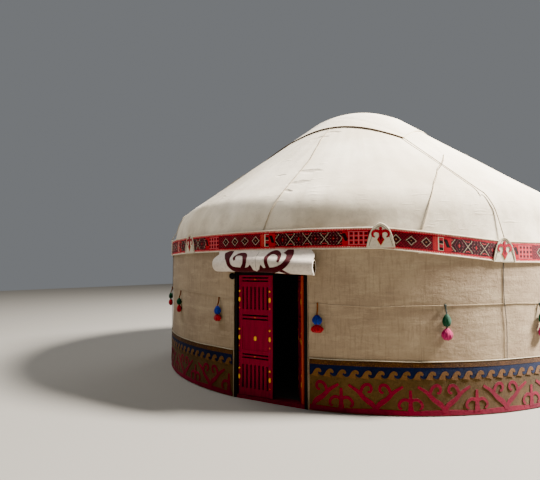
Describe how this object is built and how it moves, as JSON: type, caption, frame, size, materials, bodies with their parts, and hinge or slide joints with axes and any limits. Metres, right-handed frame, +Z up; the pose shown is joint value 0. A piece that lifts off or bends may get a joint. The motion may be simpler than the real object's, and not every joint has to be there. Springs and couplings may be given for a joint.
{
  "type": "yurt",
  "caption": "Round felt tent on a lattice wall, with bent roof poles, a crown ring under a square cover, patterned bands and a two-leaf wooden door.",
  "frame": {"origin": "middle of the floor at ground level, under the middle of the crown", "axes": "+Z up, -Y out through the door, +X to the right of a person who faces the door"},
  "size_m": [6.6964, 6.8697, 4.3252],
  "materials": {
    "crown_wood": "oiled bent wood",
    "red_wood": "worn red paint on willow",
    "roof_canvas": "cream canvas over felt",
    "wall_canvas": "weathered beige felt and canvas",
    "frame_paint": "black paint",
    "door_paint": "crimson paint",
    "flap_felt": "white felt with maroon applied ornament",
    "band_weave": "patterned woven band",
    "tab_felt": "cream felt with applied ornament",
    "skirt_cloth": "canvas with blue and crimson applied ornament",
    "rope": "twisted wool rope",
    "tassel_wool": "dyed wool yarn"
  },
  "bodies": {
    "tent": {"crown_ring": "crown_wood", "crown_bars": "crown_wood", "crown_cover": "roof_canvas", "roof_poles_1": "red_wood", "roof_poles_2": "red_wood", "roof_poles_3": "red_wood", "roof_poles_4": "red_wood", "roof_poles_5": "red_wood", "roof_poles_6": "red_wood", "roof_poles_7": "red_wood", "roof_felt_1": "roof_canvas", "roof_felt_2": "roof_canvas", "roof_felt_3": "roof_canvas", "roof_felt_4": "roof_canvas", "lattice_1": "red_wood", "lattice_2": "red_wood", "lattice_3": "red_wood", "lattice_4": "red_wood", "lattice_5": "red_wood", "lattice_6": "red_wood", "lattice_7": "red_wood", "lattice_8": "red_wood", "lattice_9": "red_wood", "lattice_10": "red_wood", "lattice_11": "red_wood", "lattice_12": "red_wood", "wall_felt_1": "wall_canvas", "wall_felt_2": "wall_canvas", "wall_felt_3": "wall_canvas", "wall_felt_4": "wall_canvas", "wall_felt_5": "wall_canvas", "wall_felt_6": "wall_canvas", "door_post_left": "frame_paint", "door_post_right": "frame_paint", "door_lintel": "frame_paint", "door_threshold": "door_paint", "door_roll": "flap_felt", "woven_band": "band_weave", "eave_tabs": "tab_felt", "skirt": "skirt_cloth", "roof_ropes": "rope", "tassels": "tassel_wool"},
    "left_leaf": {"left_door_leaf": "door_paint"},
    "right_leaf": {"right_door_leaf": "door_paint"}
  },
  "joints": [
    {"name": "left_leaf_hinge", "type": "hinge", "parent": "tent", "child": "left_leaf", "pos_m": [-0.421, -3.23257, 0.05], "axis": [0, 0, 1], "range_deg": [0, 90]},
    {"name": "right_leaf_hinge", "type": "hinge", "parent": "tent", "child": "right_leaf", "pos_m": [0.421, -3.23257, 0.05], "axis": [0, 0, -1], "range_deg": [-58, 32]}
  ]
}
